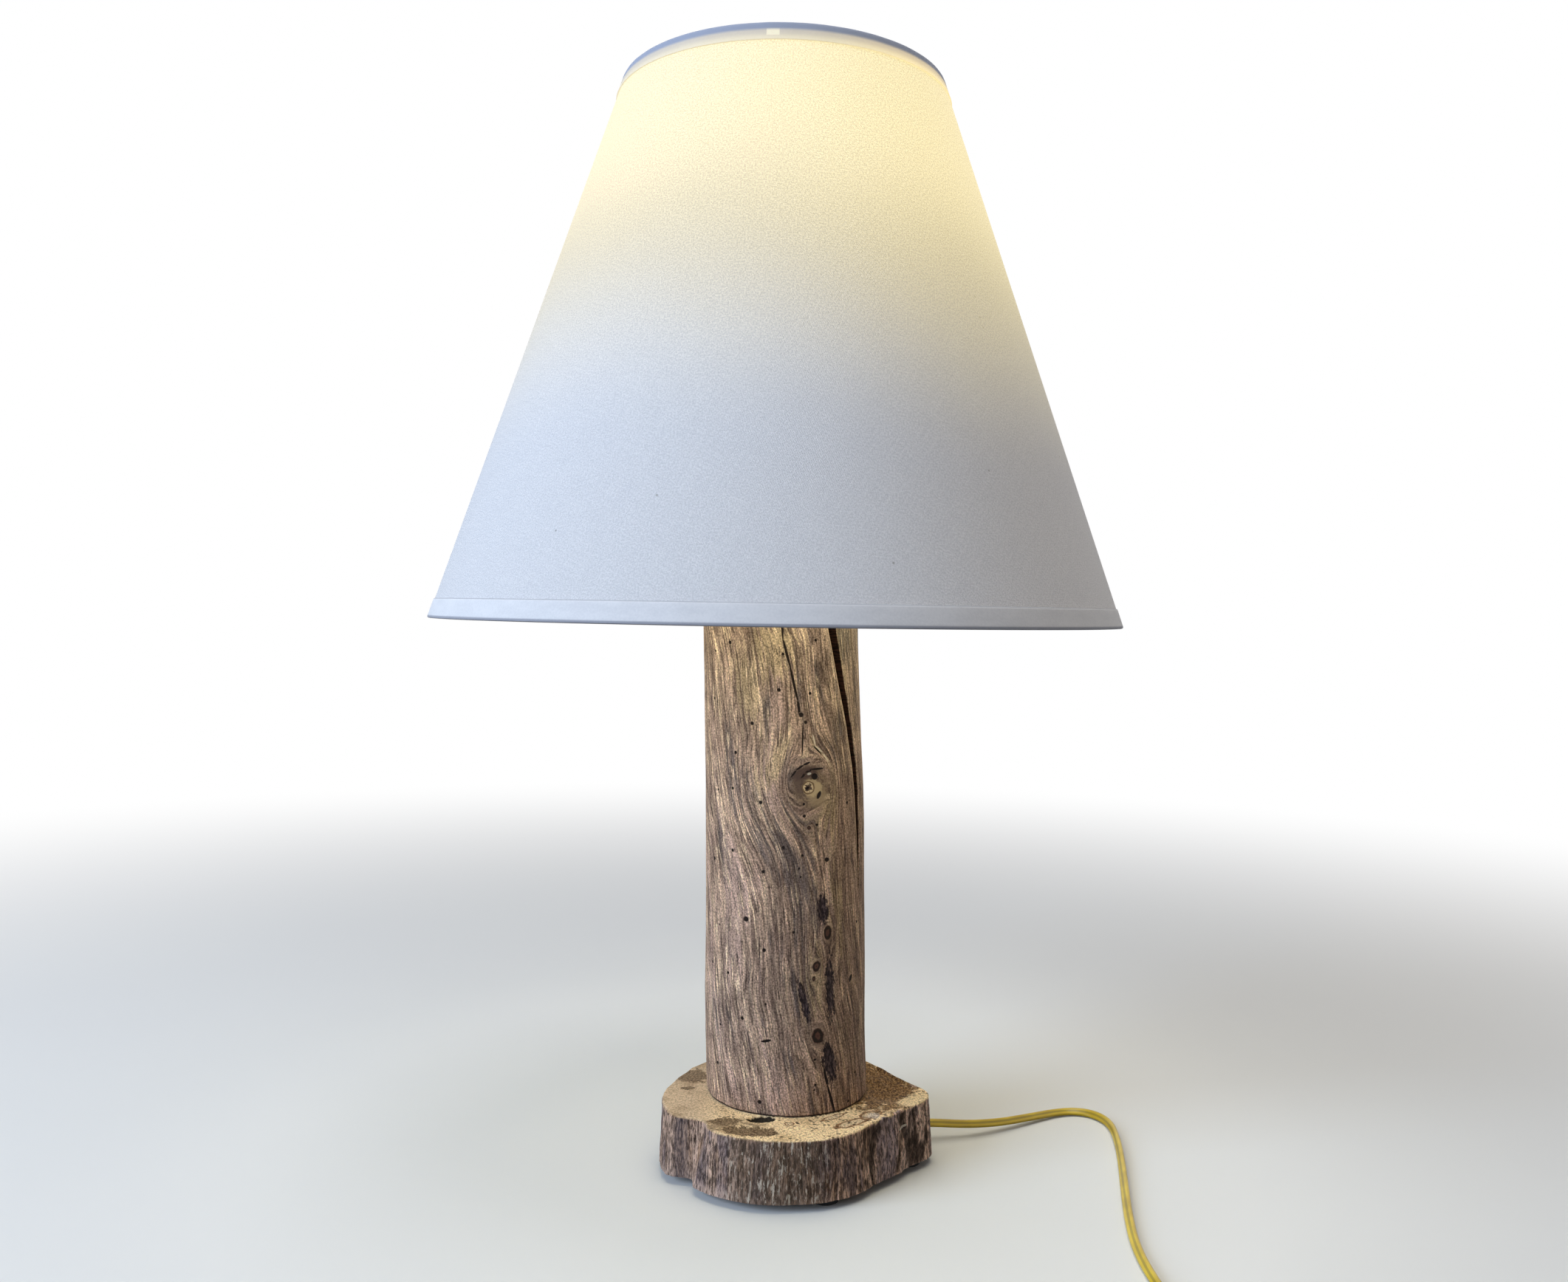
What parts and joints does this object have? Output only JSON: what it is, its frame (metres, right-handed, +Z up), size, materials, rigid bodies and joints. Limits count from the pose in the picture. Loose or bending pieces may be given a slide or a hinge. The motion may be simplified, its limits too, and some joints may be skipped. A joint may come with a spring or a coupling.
{
  "type": "table lamp",
  "caption": "Table lamp: cone cloth shade on a harp, bulb holder with turn key, driftwood post on a live-edge slab with rubber feet and a coiled flat lead.",
  "frame": {"origin": "on the floor under the rubber feet, straight below the shade's axis", "axes": "+Z up along the lamp's pipe and shade axis, -Y to the front, +X to the right where the lead leaves"},
  "size_m": [0.4288, 0.4719, 0.6429],
  "materials": {
    "slab_wood": "raw end grain with a weathered live edge",
    "post_wood": "sanded weathered driftwood, no varnish",
    "foot_rubber": "matte",
    "black_moulding": "satin moulded",
    "zinc_steel": "zinc plated",
    "polished_brass": "polished",
    "brushed_brass": "satin",
    "insulating_paper": "pressed paper",
    "brown_moulding": "moulded",
    "thread_aluminium": "rolled",
    "gold_lead": "clear gold over copper strands",
    "gold_plug": "moulded clear gold",
    "black_glass": "gloss",
    "white_moulding": "satin moulded",
    "lit_diffuser": "frosted, glowing",
    "shade_cloth": "plain weave",
    "shade_lining": "smooth white film",
    "shade_tape": "folded cloth tape",
    "shade_wire": "white coated wire"
  },
  "bodies": {
    "base": {"base_slab": "slab_wood", "rubber_foot_left": "foot_rubber", "rubber_foot_front": "foot_rubber", "rubber_foot_right": "foot_rubber", "rubber_foot_back": "foot_rubber", "cord_bushing": "black_moulding", "driftwood_post": "post_wood", "lamp_pipe": "zinc_steel", "bottom_washer": "zinc_steel", "bottom_nut": "zinc_steel", "top_nut": "zinc_steel", "post_cap": "polished_brass", "pipe_neck": "polished_brass", "harp_saddle": "brushed_brass", "socket_cap": "brushed_brass", "socket_shell": "brushed_brass", "socket_insulator": "insulating_paper", "socket_body": "brown_moulding", "screw_shell": "thread_aluminium", "centre_contact": "polished_brass", "terminal_screws": "polished_brass", "inner_lead": "gold_lead", "power_cord": "gold_lead", "cord_coil": "gold_lead", "cord_tail": "gold_lead", "cord_tie": "black_moulding", "plug_body": "gold_plug", "plug_blades": "polished_brass"},
    "switch": {"switch_knob": "black_moulding"},
    "bulb": {"bulb_contact": "polished_brass", "bulb_insulator": "black_glass", "bulb_screw_base": "thread_aluminium", "bulb_housing": "white_moulding", "bulb_globe": "lit_diffuser"},
    "harp": {"harp_wire": "brushed_brass"},
    "left_sleeve": {"harp_sleeve_left": "polished_brass"},
    "right_sleeve": {"harp_sleeve_right": "polished_brass"},
    "stud": {"harp_stud": "polished_brass"},
    "shade": {"shade_fabric": "shade_cloth", "shade_liner": "shade_lining", "shade_spider": "shade_wire", "shade_bottom_ring": "shade_wire", "shade_top_trim": "shade_tape", "shade_bottom_trim": "shade_tape"},
    "finial": {"finial": "polished_brass"}
  },
  "joints": [
    {"name": "switch_turn", "type": "hinge", "parent": "base", "child": "switch", "pos_m": [0, -0.03, 0.4606], "axis": [0, -1, 0], "continuous": true},
    {"name": "bulb_turn", "type": "hinge", "parent": "base", "child": "bulb", "pos_m": [0, 0, 0.5], "axis": [0, 0, 1], "continuous": true},
    {"name": "harp_lift", "type": "slide", "parent": "base", "child": "harp", "axis": [0, 0, 1], "range_m": [0, 0.02]},
    {"name": "left_sleeve_lift", "type": "slide", "parent": "harp", "child": "left_sleeve", "axis": [0, 0, 1], "range_m": [0, 0.011]},
    {"name": "right_sleeve_lift", "type": "slide", "parent": "harp", "child": "right_sleeve", "axis": [0, 0, 1], "range_m": [0, 0.011]},
    {"name": "shade_turn", "type": "hinge", "parent": "harp", "child": "stud", "pos_m": [0, 0, 0.6], "axis": [0, 0, 1], "continuous": true},
    {"name": "shade_lift", "type": "slide", "parent": "stud", "child": "shade", "axis": [0, 0, 1], "range_m": [0, 0.31]},
    {"name": "finial_turn", "type": "hinge", "parent": "shade", "child": "finial", "pos_m": [0, 0, 0.63], "axis": [0, 0, 1], "continuous": true}
  ]
}
